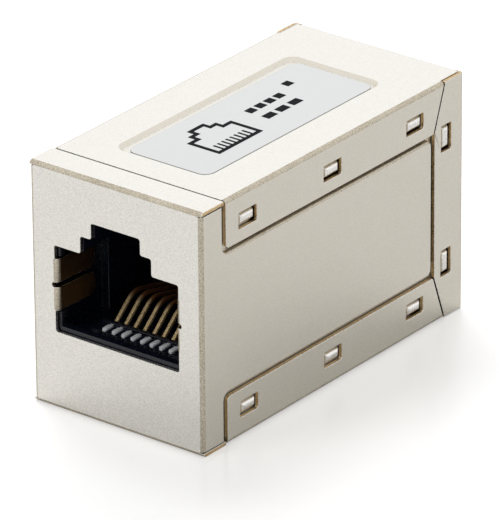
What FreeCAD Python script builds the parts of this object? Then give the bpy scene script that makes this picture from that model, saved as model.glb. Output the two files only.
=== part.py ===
"""Shielded inline coupler for modular data plugs: two eight-way sockets back to back in a folded metal case.

The case is two folded sheets that snap into each other. The front shell is the front face with its two long side
walls and a short lip along the top and bottom. The rear shell is the rear face with the top and bottom panels, whose
side flaps lap over the side walls. Snap bumps on the walls sit in windows in the flaps. Inside, each socket is a
moulded housing with a contact carrier and eight springs, soldered to one circuit board between the sockets.

Frame: millimetres. +X is the width, +Y runs from the front socket to the rear socket, +Z is up, with the latch
slots above the contacts. The origin is the middle of the underside.
"""

import math
import os

import FreeCAD
import Part

V = FreeCAD.Vector

# Case
WIDTH = 18.2
LENGTH = 36.6
HEIGHT = 22.4
SHEET = 0.35                # metal thickness
BEND = 0.40                 # outer radius of every fold
LAP_GAP = 0.10              # clearance between a cut edge and the sheet that it meets
SEAM = 0.10                 # butt seam between neighbouring flaps

# Front shell: lips and side walls
LIP_DEPTH = 3.05            # top and bottom lips, measured back from the front face
GROOVE = 0.45               # groove round each flap, at the surface
JOGGLE = 0.48               # how far the lapped margins of a side wall step in
JOGGLE_SLOPE = 0.10         # sideways run of that step
PRESS_EDGE = 0.12           # chamfer of the raised panel's rim
PANEL_INNER_CORNER = 0.75   # raised panel, corners beside the front ends of the flaps
PANEL_REAR_CORNER = 0.60

# Rear shell: flaps
PANEL_START = 3.20          # front edge of the top and bottom panels, from the front face
FLAP_START = 3.30           # front edge of their side flaps, from the front face
FLAP_HEIGHT = 4.40
FLAP_CORNER = 0.45
FLAP_SLANT = 1.50           # how far a flap's rear end leans back
REAR_FLAP = 4.20            # depth of the rear face's side flaps
SLANT_GAP = 0.18

# Snap windows and the bumps that sit in them
WINDOW_LONG = 2.50
WINDOW_SHORT = 1.50
WINDOW_CORNER = 0.10        # cut off each corner
WINDOW_EDGE = 2.53          # window centre to the folded edge beside it
WINDOW_PITCH = 11.65
WINDOWS_PER_FLAP = 3
WINDOW_SHIFT = -0.40        # middle window, from the middle of the case
REAR_WINDOW_SPREAD = 11.80
BUMP_MARGIN = 0.15          # window edge to bump foot
BUMP_TAPER = 0.28           # foot to crown, each side
BUMP_RISE = 0.42
BUMP_BREAK = 0.10           # chamfer round the crown
BUMP_HOLLOW = 0.30

# Label and the pressed recess that holds it
RECESS_LONG = 24.25
RECESS_WIDE = 9.85
RECESS_DEPTH = 0.35
RECESS_SLOPE = 0.30
RECESS_CORNER = 1.00
RECESS_RIM = 0.25
LABEL_LONG = 23.30
LABEL_WIDE = 8.65
LABEL_THICK = 0.10
LABEL_CORNER = 0.95
LABEL_SHIFT = 0.22          # the label is stuck on a little off centre

# Socket opening in each face: body, ledge and latch slot
BODY_HALF = 6.60
LEDGE_HALF = 3.77
LATCH_HALF = 2.60
BODY_BOTTOM = 7.20
BODY_TOP = 15.20
LEDGE_TOP = 16.80
LATCH_TOP = 18.30
OPENING_CORNER = 0.22

# Earthing fingers folded in from the opening's sides
FINGER_BOTTOM = 9.10
FINGER_TOP = 13.90
FINGER_SLIT = 0.44
SLIT_CORNER = 0.18
FINGER_FOLD = 0.45          # outer radius of the fold
FINGER_ROOT = 0.18          # the fold starts this far outside the opening's edge
FINGER_LENGTH = 4.80        # from the face
FINGER_LEAN = 2.5           # degrees towards the plug
FINGER_CORNER = 0.70
SLIT_OVERRUN = 0.12         # the slit runs this far past the fold

# Moulded housing
HOUSING_SIDE_GAP = 0.12     # to the stepped-in side wall
HOUSING_FACE_GAP = 0.10     # to the metal face
HOUSING_BASE_GAP = 0.10
HOUSING_TOP_GAP = 0.20      # to the underside of the label recess
BEZEL = 0.80                # wall round the mouth
BEZEL_BODY_HALF = 6.30
BEZEL_LIP = 7.60            # height of the sill at the mouth
SILL_ROUND = 0.08
FINGER_NOTCH = 0.15         # room round the fingers
CAVITY_FLOOR = 7.00
CAVITY_WIDE_HALF = 6.80     # beside the fingers
CAVITY_WIDE_DEPTH = 6.50
CAVITY_HALF = 6.05          # beside the plug's nose
CAVITY_DEPTH = 12.50
LATCH_POCKET_HALF = 3.95
LATCH_POCKET_TOP = 18.90
LATCH_POCKET_DEPTH = 10.00
COMB_HALF = 4.75            # comb that parts the contact tips
COMB_START = 2.30
COMB_TOP = 7.20
BAR_START = 3.75            # bar that holds the springs down
BAR_END = 4.15
BAR_TOP = 7.50
CORE_WALL = 1.40            # walls round the moulding's rear cores
CORE_ROWS = 3
CORE_FLOOR_GAP = 5.30       # top of the cores
CORE_DEPTH = 13.00

# Circuit board between the two sockets
BOARD_THICK = 1.60
BOARD_GAP = 0.05            # to each housing
BOARD_EDGE_GAP = 0.15       # to the housing's outline
PIN_HOLE = 0.80
HOLE_SIDES = 8              # the small plated holes are drawn as octagons
PEG = 1.50
PEG_HOLE = 1.60
PEG_LENGTH = 1.30
PEG_INSET = 2.00            # peg centre to the housing's side
PEG_LOW = 8.50
PEG_HIGH = 19.00

# Contacts
CONTACTS = 8
PITCH = 1.016
STRIP_WIDE = 0.32
STRIP_THICK = 0.30
TIP_WIDE = 0.52             # flat pad at the strip's free end
TIP_CORNER = 0.14
TIP_END = 3.72
TIP_START = 2.65            # depths and heights of the strip's middle line
TIP_BEND = 4.20
TIP_HEIGHT = 7.15
CREST_DEPTH = 6.75
CREST_HEIGHT = 9.38
BLOCK_HEIGHT = 8.10         # where the strip enters the carrier, and the lower pin row
UPPER_ROW = 10.64
TIP_RADIUS = 0.60
CREST_RADIUS = 1.80
ENTRY_RADIUS = 2.00
RISE_START = 1.00           # from the carrier's face to the foot of the rise to the upper row
RISE_RUN = 1.10
PIN_OVERRUN = 0.50          # solder tail past the board

# Contact carrier
CARRIER_HALF = 4.75
CARRIER_GAP = 0.05          # to its seat in the housing
CARRIER_BASE = 6.35
CARRIER_TOP = 12.60
CARRIER_REAR_GAP = 0.90     # to the circuit board
STRIP_GAP = 0.03            # slot round a contact strip

PARTS = "parts"
FAR = 5.0                   # overshoot of a cutter past what it cuts

FRONT = -LENGTH / 2
HALF = WIDTH / 2
EDGE = SHEET + LAP_GAP                          # cut edge of a wall, from the outside of the case
WALL_REAR = LENGTH / 2 - EDGE                   # rear end of the side walls
STEPPED = HALF - JOGGLE                         # outer surface of a wall's lapped margin
HOUSING_FACE = SHEET + HOUSING_FACE_GAP         # depth of the housing's front
BOARD_FACE = (LENGTH - BOARD_THICK) / 2         # depth of the board's near side
HOUSING_REAR = BOARD_FACE - BOARD_GAP
HOUSING_HALF = STEPPED - SHEET - HOUSING_SIDE_GAP
HOUSING_BASE = SHEET + HOUSING_BASE_GAP
HOUSING_TOP = HEIGHT - RECESS_DEPTH - SHEET - HOUSING_TOP_GAP
CARRIER_REAR = BOARD_FACE - CARRIER_REAR_GAP


def block(x0, x1, y0, y1, z0, z1):
    """A box between two corners."""
    return Part.makeBox(x1 - x0, y1 - y0, z1 - z0, V(x0, y0, z0))


def outline(corners, place):
    """A closed wire through corners (u, v, radius), with each corner rounded, set in space by place(u, v)."""
    marks = []
    for i, (u, v, radius) in enumerate(corners):
        here = V(u, v, 0)
        back = (V(*corners[i - 1][:2], 0) - here).normalize()
        ahead = (V(*corners[(i + 1) % len(corners)][:2], 0) - here).normalize()
        if radius <= 0:
            marks.append((here, None, here))
            continue
        half = back.getAngle(ahead) / 2
        reach = radius / math.tan(half)
        middle = here + (back + ahead).normalize() * (radius / math.sin(half) - radius)
        marks.append((here + back * reach, middle, here + ahead * reach))
    edges = []
    for i, (start, middle, end) in enumerate(marks):
        if middle is not None:
            edges.append(Part.Arc(*(place(p.x, p.y) for p in (start, middle, end))).toShape())
        following = marks[(i + 1) % len(marks)][0]
        if (following - end).Length > 1e-6:
            edges.append(Part.LineSegment(place(end.x, end.y), place(following.x, following.y)).toShape())
    return Part.Wire(edges)


def prism(corners, place, along):
    """The solid swept along a vector by a rounded outline."""
    return Part.Face(outline(corners, place)).extrude(along)


def frustum(low, place_low, high, place_high):
    """The solid between two outlines that have the same corners."""
    return Part.makeLoft([outline(low, place_low), outline(high, place_high)], True, True)


def rounded(u0, u1, v0, v1, radius):
    """Corners of a rounded rectangle."""
    return [(u0, v0, radius), (u1, v0, radius), (u1, v1, radius), (u0, v1, radius)]


def clipped(u0, u1, v0, v1, clip):
    """Corners of a rectangle whose corners are cut off."""
    sides = [
        (u0 + clip, v0), (u1 - clip, v0), (u1, v0 + clip), (u1, v1 - clip),
        (u1 - clip, v1), (u0 + clip, v1), (u0, v1 - clip), (u0, v0 + clip),
    ]
    return [(u, v, 0) for u, v in sides]


def at_x(x):
    """Places an outline drawn in (y, z) on the plane of that x."""
    return lambda y, z: V(x, y, z)


def at_y(y):
    """Places an outline drawn in (x, z) on the plane of that y."""
    return lambda x, z: V(x, y, z)


def at_z(z):
    """Places an outline drawn in (x, y) on the plane of that z."""
    return lambda x, y: V(x, y, z)


def edges_on(shape, where):
    """The edges whose ends and middle all satisfy a test."""
    found = []
    for edge in shape.Edges:
        points = [v.Point for v in edge.Vertexes]
        points.append(edge.valueAt((edge.FirstParameter + edge.LastParameter) / 2))
        if all(where(p) for p in points):
            found.append(edge)
    return found


def mirrored_x(shape):
    """The shape on the other side of the middle plane."""
    return shape.mirror(V(0, 0, 0), V(1, 0, 0))


def turned(shape):
    """The shape turned half round the vertical, from the front socket to the rear socket."""
    other = shape.copy()
    other.rotate(V(0, 0, 0), V(0, 0, 1), 180)
    return other


def fused(shapes):
    """One solid made of several that meet."""
    whole = shapes[0].fuse(shapes[1:]) if len(shapes) > 1 else shapes[0]
    return whole.removeSplitter()


def keyhole(body_half, bottom, corner):
    """Corners of the socket opening in (x, z)."""
    right = [
        (body_half, bottom, corner),
        (body_half, BODY_TOP, corner),
        (LEDGE_HALF, BODY_TOP, corner),
        (LEDGE_HALF, LEDGE_TOP, corner),
        (LATCH_HALF, LEDGE_TOP, corner),
        (LATCH_HALF, LATCH_TOP, corner),
    ]
    return right + [(-x, z, r) for x, z, r in reversed(right)]


def socket_opening():
    """Cutter for the socket opening in the front face, with the slits that part the fingers."""
    cut = prism(keyhole(BODY_HALF, BODY_BOTTOM, OPENING_CORNER), at_y(FRONT - FAR), V(0, 2 * FAR, 0))
    middle = (FINGER_BOTTOM + FINGER_TOP) / 2
    root = BODY_HALF + FINGER_ROOT
    reach = root + SLIT_OVERRUN
    slit = rounded(-reach, reach, middle - FINGER_SLIT / 2, middle + FINGER_SLIT / 2, SLIT_CORNER)
    mouth = block(-root, root, FRONT - FAR, FRONT + FAR, FINGER_BOTTOM, FINGER_TOP)
    return cut.fuse([mouth, prism(slit, at_y(FRONT - FAR), V(0, 2 * FAR, 0))])


def finger_pair():
    """Two earthing fingers at the +X side of the front opening, folded back into the socket."""
    lean = math.radians(FINGER_LEAN)
    centre = V(BODY_HALF + FINGER_ROOT, FRONT + FINGER_FOLD, 0)
    inner = FINGER_FOLD - SHEET

    def on_fold(radius, angle):
        return centre + V(-math.sin(angle), -math.cos(angle), 0) * radius

    turn = math.pi / 2 + lean
    back = V(-math.sin(lean), math.cos(lean), 0)
    run = (FINGER_LENGTH - FINGER_FOLD) / math.cos(lean)
    face_tip = on_fold(FINGER_FOLD, turn) + back * run
    rear_tip = on_fold(inner, turn) + back * run
    edges = [
        Part.Arc(on_fold(FINGER_FOLD, 0), on_fold(FINGER_FOLD, turn / 2), on_fold(FINGER_FOLD, turn)).toShape(),
        Part.LineSegment(on_fold(FINGER_FOLD, turn), face_tip).toShape(),
        Part.LineSegment(face_tip, rear_tip).toShape(),
        Part.LineSegment(rear_tip, on_fold(inner, turn)).toShape(),
        Part.Arc(on_fold(inner, turn), on_fold(inner, turn / 2), on_fold(inner, 0)).toShape(),
        Part.LineSegment(on_fold(inner, 0), on_fold(FINGER_FOLD, 0)).toShape(),
    ]
    strip = Part.Face(Part.Wire(edges)).extrude(V(0, 0, FINGER_TOP - FINGER_BOTTOM))
    strip.translate(V(0, 0, FINGER_BOTTOM))
    middle = (FINGER_BOTTOM + FINGER_TOP) / 2
    tip = FRONT + FINGER_LENGTH
    fingers = []
    for low, high in ((FINGER_BOTTOM, middle - FINGER_SLIT / 2), (middle + FINGER_SLIT / 2, FINGER_TOP)):
        shape = [(FRONT - FAR, low, 0), (tip, low, FINGER_CORNER), (tip, high, FINGER_CORNER), (FRONT - FAR, high, 0)]
        fingers.append(strip.common(prism(shape, at_x(0), V(HALF, 0, 0))))
    return fingers


def windows():
    """Centre (y, z) and half sizes of each snap window on one side of the case."""
    found = []
    for n in range(WINDOWS_PER_FLAP):
        y = WINDOW_SHIFT + (n - (WINDOWS_PER_FLAP - 1) / 2) * WINDOW_PITCH
        for z in (WINDOW_EDGE, HEIGHT - WINDOW_EDGE):
            found.append((y, z, WINDOW_LONG / 2, WINDOW_SHORT / 2))
    for side in (-1, 1):
        z = HEIGHT / 2 + side * REAR_WINDOW_SPREAD / 2
        found.append((LENGTH / 2 - WINDOW_EDGE, z, WINDOW_SHORT / 2, WINDOW_LONG / 2))
    return found


def raised_panel(inset):
    """Outline in (y, z) of a side wall's raised part, made smaller all round by inset."""
    groove_front = FRONT + FLAP_START - GROOVE - inset
    rear = LENGTH / 2 - REAR_FLAP - GROOVE - inset
    low = FLAP_HEIGHT + GROOVE + inset
    high = HEIGHT - low
    inner = PANEL_INNER_CORNER + inset
    outer = max(PANEL_REAR_CORNER - inset, 0.05)
    return [
        (FRONT - FAR, -FAR, 0),
        (groove_front, -FAR, 0),
        (groove_front, low, inner),
        (rear, low, outer),
        (rear, high, outer),
        (groove_front, high, inner),
        (groove_front, HEIGHT + FAR, 0),
        (FRONT - FAR, HEIGHT + FAR, 0),
    ]


def wall_block(half, front, rear, radius, low, high):
    """A block whose two front upright edges are rounded."""
    corners = [(-half, front, radius), (half, front, radius), (half, rear, 0), (-half, rear, 0)]
    return prism(corners, at_z(low), V(0, 0, high - low))


def walled_form(depth):
    """The front shell's form, with the surface lying depth inside the outer surface."""
    base, crown = STEPPED - depth, HALF - depth
    pad = frustum(raised_panel(depth - JOGGLE_SLOPE), at_x(base), raised_panel(depth), at_x(crown))
    if depth == 0:
        pad = pad.makeChamfer(PRESS_EDGE, edges_on(pad, lambda p: abs(p.x - crown) < 1e-4 and FRONT < p.y))
    core = block(-base, base, FRONT - FAR, LENGTH, -FAR, HEIGHT + FAR)
    form = core.fuse([pad, mirrored_x(pad)])
    rear = WALL_REAR if depth == 0 else LENGTH
    low, high = (EDGE, HEIGHT - EDGE) if depth == 0 else (-FAR, HEIGHT + FAR)
    return form.common(wall_block(crown, FRONT + depth, rear, BEND - depth, low, high))


def folded_lip():
    """The top lip: the upper edge of the front face, folded back."""
    def profile(low):
        outer = [(FRONT, low, 0), (FRONT, HEIGHT, BEND), (FRONT + LIP_DEPTH, HEIGHT, 0)]
        inner = [
            (FRONT + LIP_DEPTH, HEIGHT - SHEET, 0),
            (FRONT + SHEET, HEIGHT - SHEET, BEND - SHEET),
            (FRONT + SHEET, low, 0),
        ]
        return outer + inner

    lip = prism(profile(HEIGHT - 2 * EDGE), at_x(-HALF), V(WIDTH, 0, 0))
    relief = block(HALF - BEND, WIDTH, FRONT - FAR, 0, 0, HEIGHT - EDGE + SEAM)
    return lip.cut([relief, mirrored_x(relief)])


def snap_bump(y, z, half_y, half_z, margin, base, crown):
    """A pressed bump between two planes of x, standing in from a window's edge by margin."""
    low_y, low_z = half_y - margin, half_z - margin
    top_y, top_z = low_y - BUMP_TAPER, low_z - BUMP_TAPER
    foot = rounded(y - low_y, y + low_y, z - low_z, z + low_z, 0)
    head = rounded(y - top_y, y + top_y, z - top_z, z + top_z, 0)
    return frustum(foot, at_x(base), head, at_x(crown))


def front_shell():
    """Front face with its lips, fingers and side walls."""
    shell = walled_form(0).cut(walled_form(SHEET))
    lip = folded_lip()
    lower = lip.mirror(V(0, 0, HEIGHT / 2), V(0, 0, 1))
    shell = shell.fuse([lip, lower])
    bumps, hollows = [], []
    crown = STEPPED + BUMP_RISE
    inside = STEPPED - SHEET
    for window in windows():
        bump = snap_bump(*window, BUMP_MARGIN, STEPPED - SHEET / 2, crown)
        bump = bump.makeChamfer(BUMP_BREAK, edges_on(bump, lambda p: abs(p.x - crown) < 1e-4))
        margin = BUMP_MARGIN + SHEET / 2
        hollow = snap_bump(*window, margin, inside - SHEET, inside + BUMP_HOLLOW)
        bumps += [bump, mirrored_x(bump)]
        hollows += [hollow, mirrored_x(hollow)]
    shell = shell.fuse(bumps).cut(hollows).cut(socket_opening())
    fingers = finger_pair()
    return fused([shell] + fingers + [mirrored_x(f) for f in fingers])


def panel_and_back():
    """Bottom panel, rear face and top panel as one folded strip, inside the line of the side flaps."""
    rear = LENGTH / 2
    start = FRONT + PANEL_START
    inside = BEND - SHEET
    corners = [
        (start, 0, 0),
        (rear, 0, BEND),
        (rear, HEIGHT, BEND),
        (start, HEIGHT, 0),
        (start, HEIGHT - SHEET, 0),
        (rear - SHEET, HEIGHT - SHEET, inside),
        (rear - SHEET, SHEET, inside),
        (start, SHEET, 0),
    ]
    half = HALF - SHEET - SEAM
    return prism(corners, at_x(-half), V(2 * half, 0, 0))


def flap_slant():
    """Where a side flap's rear end starts at its free edge, and where it ends at the fold."""
    free = LENGTH / 2 - REAR_FLAP - SLANT_GAP
    return free, free + FLAP_SLANT


def top_flap():
    """The top panel's +X flap, folded down over the side wall."""
    start = FRONT + FLAP_START
    free, fold = flap_slant()
    root = HALF - BEND - SHEET
    corners = [
        (root, HEIGHT, 0),
        (HALF, HEIGHT, BEND),
        (HALF, HEIGHT - FLAP_HEIGHT, 0),
        (HALF - SHEET, HEIGHT - FLAP_HEIGHT, 0),
        (HALF - SHEET, HEIGHT - SHEET, BEND - SHEET),
        (root, HEIGHT - SHEET, 0),
    ]
    strip = prism(corners, at_y(start), V(0, fold - start, 0))
    low = HEIGHT - FLAP_HEIGHT
    shape = [
        (start, HEIGHT + FAR, 0),
        (start, low, FLAP_CORNER),
        (free, low, FLAP_CORNER / 2),
        (fold, HEIGHT - BEND / 2, 0),
        (fold, HEIGHT + FAR, 0),
    ]
    return strip.common(prism(shape, at_x(0), V(WIDTH, 0, 0)))


def rear_flap():
    """The rear face's +X flap, folded forward over the end of the side wall."""
    rear = LENGTH / 2
    root = HALF - BEND - SHEET
    free = rear - REAR_FLAP
    corners = [
        (root, rear, 0),
        (HALF, rear, BEND),
        (HALF, free, 0),
        (HALF - SHEET, free, 0),
        (HALF - SHEET, rear - SHEET, BEND - SHEET),
        (root, rear - SHEET, 0),
    ]
    strip = prism(corners, at_z(0), V(0, 0, HEIGHT))
    top = HEIGHT - SEAM / 2
    knee = HEIGHT - FLAP_HEIGHT
    fold = free + FLAP_SLANT
    upper = [
        (free, knee, FLAP_CORNER / 2),
        (fold, top - BEND / 2, 0),
        (fold, top, 0),
        (rear - BEND, top, 0),
        (rear + FAR, top - BEND, 0),
    ]
    shape = upper + [(y, HEIGHT - z, r) for y, z, r in reversed(upper)]
    return strip.common(prism(shape, at_x(0), V(WIDTH, 0, 0)))


def label_recess():
    """Pan pressed into the top panel: its underside, and the hollow above it."""
    half_w, half_l = RECESS_WIDE / 2, RECESS_LONG / 2

    def rim(grow):
        return rounded(-half_w - grow, half_w + grow, -half_l - grow, half_l + grow, RECESS_CORNER + grow)

    floor = HEIGHT - RECESS_DEPTH
    pan = frustum(rim(SHEET - RECESS_SLOPE), at_z(floor - SHEET), rim(SHEET), at_z(HEIGHT - SHEET / 2))
    hollow = frustum(rim(-RECESS_SLOPE), at_z(floor), rim(0), at_z(HEIGHT))
    return pan, hollow


def rear_shell():
    """Rear face with its fingers and flaps, and the top and bottom panels with theirs."""
    pan, hollow = label_recess()
    panels = panel_and_back().fuse(pan).cut(hollow)
    half_w, half_l = RECESS_WIDE / 2 + 0.1, RECESS_LONG / 2 + 0.1
    rim = edges_on(panels, lambda p: abs(p.z - HEIGHT) < 1e-4 and abs(p.x) < half_w and abs(p.y) < half_l)
    panels = panels.makeFillet(RECESS_RIM, rim)
    flap = top_flap()
    flaps = [flap, flap.mirror(V(0, 0, HEIGHT / 2), V(0, 0, 1)), rear_flap()]
    flaps += [mirrored_x(f) for f in flaps]
    shell = panels.fuse(flaps)
    cutters = []
    for y, z, half_y, half_z in windows():
        corners = clipped(y - half_y, y + half_y, z - half_z, z + half_z, WINDOW_CORNER)
        cutters.append(prism(corners, at_x(-WIDTH), V(2 * WIDTH, 0, 0)))
    shell = shell.cut(cutters).cut(turned(socket_opening()))
    fingers = finger_pair()
    fingers += [mirrored_x(f) for f in fingers]
    return fused([shell] + [turned(f) for f in fingers])


def label():
    """Printed sticker on the floor of the recess."""
    corners = rounded(
        LABEL_SHIFT - LABEL_WIDE / 2, LABEL_SHIFT + LABEL_WIDE / 2, -LABEL_LONG / 2, LABEL_LONG / 2, LABEL_CORNER
    )
    return prism(corners, at_z(HEIGHT - RECESS_DEPTH), V(0, 0, LABEL_THICK))


def depth_block(half, d0, d1, z0, z1):
    """A box centred in width, between two depths from the front face."""
    return block(-half, half, FRONT + d0, FRONT + d1, z0, z1)


def housing():
    """Front socket's moulding: bezel, plug cavity, latch pocket, and a seat at the back for the carrier."""
    body = depth_block(HOUSING_HALF, HOUSING_FACE, HOUSING_REAR, HOUSING_BASE, HOUSING_TOP)
    mouth = prism(
        keyhole(BEZEL_BODY_HALF, BEZEL_LIP, OPENING_CORNER / 2), at_y(FRONT), V(0, HOUSING_FACE + BEZEL, 0)
    )
    inside = HOUSING_FACE + BEZEL
    cutters = [
        mouth,
        depth_block(CAVITY_WIDE_HALF, 0, inside, FINGER_BOTTOM - FINGER_NOTCH, FINGER_TOP + FINGER_NOTCH),
        depth_block(CAVITY_WIDE_HALF, inside, CAVITY_WIDE_DEPTH, CAVITY_FLOOR, BODY_TOP),
        depth_block(CAVITY_HALF, CAVITY_WIDE_DEPTH, CAVITY_DEPTH, CAVITY_FLOOR, BODY_TOP),
        depth_block(LATCH_POCKET_HALF, inside, LATCH_POCKET_DEPTH, BODY_TOP, LATCH_POCKET_TOP),
    ]
    seat_half = CARRIER_HALF + CARRIER_GAP
    seat_base = CARRIER_BASE - CARRIER_GAP
    cutters.append(depth_block(seat_half, CAVITY_DEPTH, HOUSING_REAR, seat_base, CARRIER_TOP + CARRIER_GAP))
    cutters += cores()
    body = body.cut(cutters).fuse(comb())
    slot_floor = TIP_HEIGHT - STRIP_THICK / 2 - STRIP_GAP
    slot_half = TIP_WIDE / 2 + STRIP_GAP
    for number in range(1, CONTACTS + 1):
        x = contact_x(number)
        tip_slot = block(x - slot_half, x + slot_half, FRONT + inside, FRONT + BAR_START, slot_floor, BAR_TOP)
        body = body.cut([strip_slot(number), tip_slot])
    sill = edges_on(
        body, lambda p: abs(p.z - BEZEL_LIP) < 1e-4 and abs(p.y - FRONT - HOUSING_FACE) < 1e-4
    )
    body = body.makeFillet(SILL_ROUND, sill)
    return fused([body] + pegs(PEG, HOUSING_REAR, PEG_LENGTH + BOARD_GAP))


def comb():
    """Ribs between the contact tips, and the bar behind them, on the cavity's floor."""
    ribs = depth_block(COMB_HALF, COMB_START, BAR_END, CAVITY_FLOOR - SHEET, COMB_TOP)
    bar = depth_block(COMB_HALF, BAR_START, BAR_END, CAVITY_FLOOR - SHEET, BAR_TOP)
    return [ribs, bar]


def cores():
    """Blind hollows in the back of the moulding, below the socket, that keep its walls even."""
    room = 2 * HOUSING_HALF - CORE_WALL * (CORE_ROWS + 1)
    wide = room / CORE_ROWS
    found = []
    for n in range(CORE_ROWS):
        x = -HOUSING_HALF + CORE_WALL + n * (wide + CORE_WALL)
        rear = FRONT + HOUSING_REAR
        found.append(block(x, x + wide, rear - CORE_DEPTH, rear, HOUSING_BASE + CORE_WALL, CORE_FLOOR_GAP))
    return found


def pegs(diameter, start, length):
    """Two locating pegs of the front housing, one to each side of the board."""
    x = HOUSING_HALF - PEG_INSET
    spots = ((x, PEG_LOW), (-x, PEG_HIGH))
    return [Part.makeCylinder(diameter / 2, length, V(px, FRONT + start, pz), V(0, 1, 0)) for px, pz in spots]


def contact_x(number):
    """Place across the socket of contact 1 to 8."""
    return (number - (CONTACTS + 1) / 2) * PITCH


def contact_route(number):
    """Corners (depth, height, radius) of a contact's middle line, from its tip to its solder tail."""
    tail = BOARD_FACE + BOARD_THICK + PIN_OVERRUN
    route = [
        (TIP_START, TIP_HEIGHT, 0),
        (TIP_BEND, TIP_HEIGHT, TIP_RADIUS),
        (CREST_DEPTH, CREST_HEIGHT, CREST_RADIUS),
        (CAVITY_DEPTH, BLOCK_HEIGHT, ENTRY_RADIUS),
    ]
    if number % 2 == 0:
        foot = CAVITY_DEPTH + RISE_START
        route.append((foot, BLOCK_HEIGHT, 0))
        route.append((foot + RISE_RUN, UPPER_ROW, 0))
        route.append((tail, UPPER_ROW, 0))
    else:
        route.append((tail, BLOCK_HEIGHT, 0))
    return route


def beside(route, shift):
    """The route moved sideways by shift, to its left as it runs, with its bends kept concentric."""
    points = [V(d, z, 0) for d, z, _ in route]
    runs = [(b - a).normalize() for a, b in zip(points, points[1:])]
    found = []
    for i, (_, _, radius) in enumerate(route):
        before, after = runs[max(i - 1, 0)], runs[min(i, len(runs) - 1)]
        left = V(-before.y, before.x, 0)
        mitre = (left + V(-after.y, after.x, 0)).normalize()
        corner = points[i] + mitre * (shift / mitre.dot(left))
        side = math.copysign(1, before.cross(after).z)
        found.append((FRONT + corner.x, corner.y, max(radius - side * shift, 0) if radius else 0))
    return found


def strip(number, wide, thick):
    """A flat strip that follows contact number's route."""
    route = contact_route(number)
    sides = beside(route, thick / 2) + beside(route, -thick / 2)[::-1]
    return prism(sides, at_x(contact_x(number) - wide / 2), V(wide, 0, 0))


def contact(number):
    """One spring of the front socket: the bent strip, and the flat pad at its free end."""
    x = contact_x(number)
    half = TIP_WIDE / 2
    pad = clipped(x - half, x + half, FRONT + TIP_START, FRONT + TIP_END, TIP_CORNER)
    tip = prism(pad, at_z(TIP_HEIGHT - STRIP_THICK / 2), V(0, 0, STRIP_THICK))
    return fused([strip(number, STRIP_WIDE, STRIP_THICK), tip])


def strip_slot(number):
    """Channel round a contact."""
    return strip(number, STRIP_WIDE + 2 * STRIP_GAP, STRIP_THICK + 2 * STRIP_GAP)


def carrier():
    """Front socket's insert: the block that holds the springs."""
    body = depth_block(CARRIER_HALF, CAVITY_DEPTH, CARRIER_REAR, CARRIER_BASE, CARRIER_TOP)
    return body.cut([strip_slot(number) for number in range(1, CONTACTS + 1)])


def circuit_board():
    """Board that crosses the case between the sockets, with a row of plated holes for each set of tails."""
    half = HOUSING_HALF - BOARD_EDGE_GAP
    board = depth_block(
        half, BOARD_FACE, BOARD_FACE + BOARD_THICK, HOUSING_BASE + BOARD_EDGE_GAP, HOUSING_TOP - BOARD_EDGE_GAP
    )
    holes = pegs(PEG_HOLE, BOARD_FACE - FAR, BOARD_THICK + 2 * FAR)
    holes += [turned(hole) for hole in holes]
    for number in range(1, CONTACTS + 1):
        holes += [pin_hole(contact_x(number), z) for z in (BLOCK_HEIGHT, UPPER_ROW)]
    return board.cut(holes)


def pin_hole(x, z):
    """Cutter for a plated hole of the board."""
    corners = []
    for n in range(HOLE_SIDES):
        angle = 2 * math.pi * (n + 0.5) / HOLE_SIDES
        corners.append((x + PIN_HOLE / 2 * math.cos(angle), z + PIN_HOLE / 2 * math.sin(angle), 0))
    return prism(corners, at_y(-BOARD_THICK), V(0, 2 * BOARD_THICK, 0))


def nodes():
    """Every piece of the coupler, by name."""
    front = {"housing": housing(), "contact_carrier": carrier()}
    for number in range(1, CONTACTS + 1):
        front[f"contact_{number}"] = contact(number)
    pieces = {
        "front_shell": front_shell(),
        "rear_shell": rear_shell(),
        "label": label(),
        "circuit_board": circuit_board(),
    }
    for name, shape in front.items():
        pieces[f"front_{name}"] = shape
        pieces[f"rear_{name}"] = turned(shape)
    return pieces


def main():
    os.makedirs(PARTS, exist_ok=True)
    for name, shape in nodes().items():
        solids = shape.Solids
        print(f"{name:24s} solids {len(solids)} valid {shape.isValid()} volume {shape.Volume:9.3f}")
        solid = solids[0] if len(solids) == 1 else Part.makeCompound(solids)
        solid.exportStep(os.path.join(PARTS, f"{name}.step"))


main()
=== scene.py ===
"""Looks of the shielded inline coupler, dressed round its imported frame.

The coupler lies with its front socket towards -Y and its latch slots up. Lengths are in metres.
Each sub-assembly is a class that copies its pieces from the frame, softens their edges and gives
them their finishes.
"""

import logging
import math
from dataclasses import dataclass, field
from enum import Enum
from typing import Any

import bmesh
import bpy
from mathutils import Matrix, Vector
from mathutils.bvhtree import BVHTree


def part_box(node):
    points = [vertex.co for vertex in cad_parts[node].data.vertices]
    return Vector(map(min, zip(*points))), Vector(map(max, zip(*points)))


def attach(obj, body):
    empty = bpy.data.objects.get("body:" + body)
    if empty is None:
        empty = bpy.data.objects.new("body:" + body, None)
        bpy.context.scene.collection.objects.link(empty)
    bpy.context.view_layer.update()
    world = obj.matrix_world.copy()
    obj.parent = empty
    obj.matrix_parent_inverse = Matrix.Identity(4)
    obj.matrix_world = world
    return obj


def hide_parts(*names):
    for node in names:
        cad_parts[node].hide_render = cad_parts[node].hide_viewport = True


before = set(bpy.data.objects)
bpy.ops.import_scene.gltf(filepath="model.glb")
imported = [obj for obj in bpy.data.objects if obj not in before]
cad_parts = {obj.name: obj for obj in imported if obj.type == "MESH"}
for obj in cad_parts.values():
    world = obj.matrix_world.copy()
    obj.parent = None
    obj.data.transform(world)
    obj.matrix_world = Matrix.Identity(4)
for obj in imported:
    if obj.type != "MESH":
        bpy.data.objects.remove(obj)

MM = 0.001
BODY = "root"
SHELLS = ("front_shell", "rear_shell")

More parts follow.
